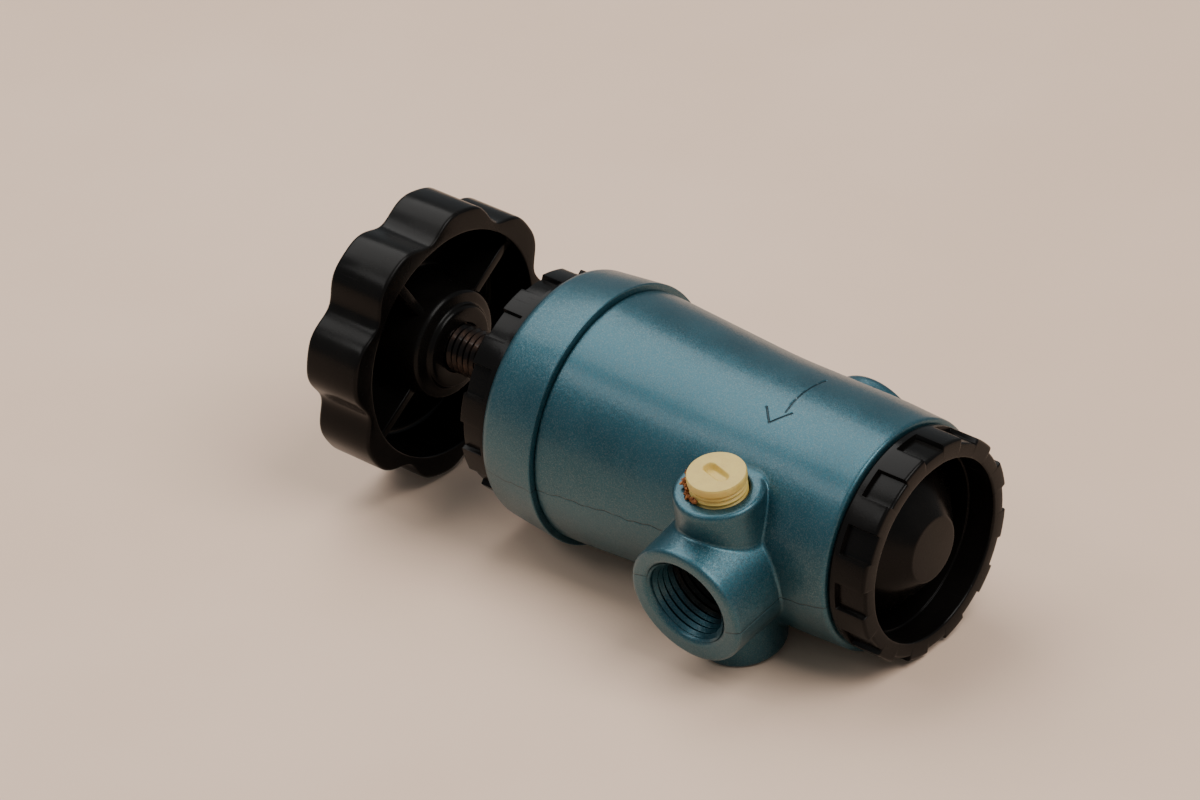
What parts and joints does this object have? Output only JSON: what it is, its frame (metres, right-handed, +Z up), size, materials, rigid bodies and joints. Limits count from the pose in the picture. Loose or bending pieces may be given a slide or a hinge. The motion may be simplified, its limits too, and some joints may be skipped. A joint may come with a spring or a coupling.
{
  "type": "diaphragm valve",
  "caption": "Pressure-reducing diaphragm valve lying on its side: lobed handwheel on a screw spindle, tapered teal body, side port with gauge bosses, ring nuts and conical cap.",
  "frame": {"origin": "middle of the underside of the bounding box, at the height of the surface the valve lies on", "axes": "+X along the valve axis from the handwheel to the bottom cap, seen from above; -Y towards the outlet port; +Z up"},
  "size_m": [0.1626, 0.0788, 0.0702],
  "materials": {
    "teal_paint": "fine metallic teal lacquer on a die casting, satin gloss",
    "black_plastic": "glossy black moulded plastic",
    "cream_plastic": "ivory moulded plastic, satin",
    "brass": "turned brass",
    "zinc_steel": "zinc-plated turned steel",
    "spring_steel": "drawn spring wire",
    "rubber": "black nitrile rubber"
  },
  "bodies": {
    "housing": {"valve_body": "teal_paint", "bonnet": "teal_paint", "panel_ring_nut": "black_plastic", "lower_ring_nut": "black_plastic", "bottom_cap": "black_plastic", "cap_o_ring": "rubber", "diaphragm_clamp_ring": "zinc_steel", "seat_insert": "brass", "spindle_bush": "brass", "upper_gauge_plug": "cream_plastic", "lower_gauge_plug": "cream_plastic"},
    "spring_carriage": {"upper_spring_plate": "zinc_steel", "thrust_ball": "spring_steel", "range_spring": "spring_steel"},
    "spindle_group": {"spindle": "zinc_steel", "handwheel": "black_plastic", "hub_washer": "zinc_steel", "hub_nut": "zinc_steel", "hub_cover": "black_plastic"},
    "valve_train": {"diaphragm": "rubber", "diaphragm_plate": "zinc_steel", "diaphragm_washer": "zinc_steel", "diaphragm_nut": "zinc_steel", "stem": "brass", "poppet": "brass", "poppet_seal": "rubber", "poppet_spring": "spring_steel"}
  },
  "joints": [
    {"name": "spring_feed", "type": "slide", "parent": "housing", "child": "spring_carriage", "axis": [0.9984, 0, -0.0559], "range_m": [0, 0.01225], "deforming": ["range_spring"]},
    {"name": "handwheel_turn", "type": "hinge", "parent": "spring_carriage", "child": "spindle_group", "pos_m": [-0.07155, 0.0054, 0.03584], "axis": [0.9984, 0, -0.0559], "range_deg": [0, 2520]},
    {"name": "valve_lift", "type": "slide", "parent": "housing", "child": "valve_train", "axis": [0.9984, 0, -0.0559], "range_m": [0, 0.002], "stiffness_N_per_m": 2000, "springref_m": -0.003, "deforming": ["diaphragm", "poppet_spring"]}
  ],
  "couplings": [
    {"joint": "handwheel_turn", "follows": "spring_feed", "rad_per_m": 3590.4}
  ]
}
